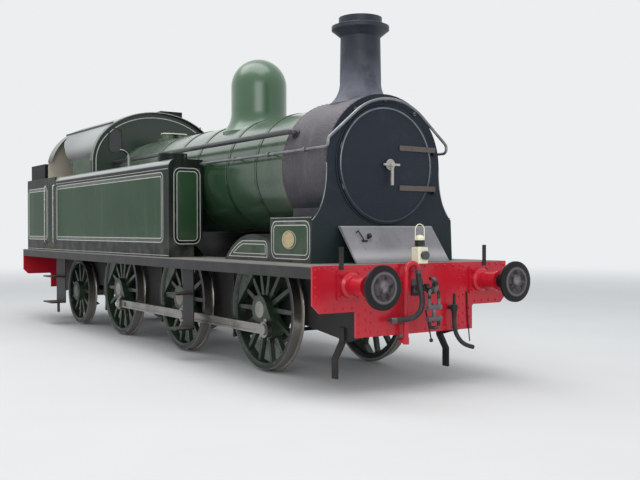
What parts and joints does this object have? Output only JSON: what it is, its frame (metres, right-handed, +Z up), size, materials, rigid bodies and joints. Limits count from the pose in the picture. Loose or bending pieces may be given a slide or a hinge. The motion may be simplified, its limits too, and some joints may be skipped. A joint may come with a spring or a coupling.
{
  "type": "six-coupled side tank steam locomotive",
  "caption": "Standard gauge side tank steam locomotive with coupled driving wheels, a trailing axle, round-topped cab, tall dome and rimmed chimney, lined green with red beams.",
  "frame": {"origin": "bottom centre of the bounding box, at the flange tips, midway between the buffer faces", "axes": "+X towards the chimney end, +Y to the left-hand side, +Z up"},
  "size_m": [10.88, 2.566, 3.9699],
  "materials": {
    "black_iron": "dusty black",
    "black_paint": "worn black paint",
    "red_paint": "gloss red paint",
    "green_paint": "gloss green paint",
    "roof_paint": "dark glossy paint",
    "smokebox_paint": "heat-proof blue-black paint",
    "grey_plate": "dusty grey",
    "cream_paint": "cream paint",
    "wheel_paint": "oily paint, bright tread",
    "steel": "oily machined steel",
    "bright_steel": "polished steel",
    "brass": "brass",
    "rubber": "matt black",
    "wood": "worn boards",
    "glass": "clear"
  },
  "bodies": {
    "engine": {"frame_plates": "black_iron", "frame_stretchers": "black_iron", "front_buffer_beam": "red_paint", "rear_buffer_beam": "red_paint", "buffer_housings": "red_paint", "buffer_heads": "black_iron", "running_plate": "black_paint", "splashers": "green_paint", "sandboxes": "green_paint", "side_tank_right": "green_paint", "side_tank_left": "green_paint", "bunker": "green_paint", "cab_roof": "roof_paint", "cab_front_sheet": "green_paint", "cab_rear_sheet": "green_paint", "window_glass": "glass", "cab_floor": "wood", "boiler": "green_paint", "backhead_fittings": "brass", "ashpan": "black_iron", "smokebox": "smokebox_paint", "smokebox_front": "smokebox_paint", "chimney": "smokebox_paint", "dome": "green_paint", "safety_valves": "green_paint", "cylinder_block": "black_iron", "axleboxes": "black_iron", "springs": "black_iron", "footsteps": "black_paint", "apron": "grey_plate", "handrails": "bright_steel", "cab_handrails": "bright_steel", "ejector_pipe": "green_paint", "brake_gear": "black_iron", "front_coupling": "black_iron", "rear_coupling": "black_iron", "vacuum_pipes": "red_paint", "steam_pipes": "black_iron", "vacuum_hose": "rubber", "heating_hose": "rubber", "headlamp": "cream_paint", "lamp_irons": "black_iron"},
    "leading_wheelset": {"leading_wheels": "wheel_paint", "leading_axle": "steel"},
    "driving_wheelset": {"driving_wheels": "wheel_paint", "driving_axle": "steel"},
    "rear_wheelset": {"rear_wheels": "wheel_paint", "rear_axle": "steel"},
    "trailing_wheelset": {"trailing_wheels": "wheel_paint", "trailing_axle": "steel"},
    "right_rod": {"coupling_rod_right": "steel"},
    "left_rod": {"coupling_rod_left": "steel"},
    "smokebox_door_body": {"smokebox_door": "smokebox_paint"},
    "right_cab_door": {"cab_door_right": "green_paint"},
    "left_cab_door": {"cab_door_left": "green_paint"},
    "right_filler_lid": {"filler_lid_right": "green_paint"},
    "left_filler_lid": {"filler_lid_left": "green_paint"}
  },
  "joints": [
    {"name": "driving_axle_spin", "type": "hinge", "parent": "engine", "child": "driving_wheelset", "pos_m": [0.99, 0, 0.714], "axis": [0, 1, 0], "continuous": true},
    {"name": "leading_axle_spin", "type": "hinge", "parent": "engine", "child": "leading_wheelset", "pos_m": [3.12, 0, 0.714], "axis": [0, 1, 0], "continuous": true},
    {"name": "rear_axle_spin", "type": "hinge", "parent": "engine", "child": "rear_wheelset", "pos_m": [-1.22, 0, 0.714], "axis": [0, 1, 0], "continuous": true},
    {"name": "trailing_axle_spin", "type": "hinge", "parent": "engine", "child": "trailing_wheelset", "pos_m": [-3.16, 0, 0.578], "axis": [0, 1, 0], "continuous": true},
    {"name": "right_rod_pin", "type": "hinge", "parent": "driving_wheelset", "child": "right_rod", "pos_m": [1.19506, -0.887, 0.50894], "axis": [0, 1, 0], "continuous": true},
    {"name": "left_rod_pin", "type": "hinge", "parent": "driving_wheelset", "child": "left_rod", "pos_m": [1.19506, 0.887, 0.91906], "axis": [0, 1, 0], "continuous": true},
    {"name": "smokebox_door_hinge", "type": "hinge", "parent": "engine", "child": "smokebox_door_body", "pos_m": [4.392, 0.658, 2.312], "axis": [0, 0, 1], "range_deg": [0, 90]},
    {"name": "right_cab_door_hinge", "type": "hinge", "parent": "engine", "child": "right_cab_door", "pos_m": [-3.15, -1.181, 1.9], "axis": [0, 0, -1], "range_deg": [0, 90]},
    {"name": "left_cab_door_hinge", "type": "hinge", "parent": "engine", "child": "left_cab_door", "pos_m": [-3.15, 1.181, 1.9], "axis": [0, 0, 1], "range_deg": [0, 90]},
    {"name": "right_filler_lid_hinge", "type": "hinge", "parent": "engine", "child": "right_filler_lid", "pos_m": [1.05, -0.786, 2.6253], "axis": [-1, 0, 0], "range_deg": [0, 90]},
    {"name": "left_filler_lid_hinge", "type": "hinge", "parent": "engine", "child": "left_filler_lid", "pos_m": [1.05, 0.786, 2.6253], "axis": [1, 0, 0], "range_deg": [0, 90]}
  ],
  "couplings": [
    {"joint": "leading_axle_spin", "follows": "driving_axle_spin", "ratio": 1},
    {"joint": "rear_axle_spin", "follows": "driving_axle_spin", "ratio": 1},
    {"joint": "right_rod_pin", "follows": "driving_axle_spin", "ratio": -1},
    {"joint": "left_rod_pin", "follows": "driving_axle_spin", "ratio": -1}
  ]
}
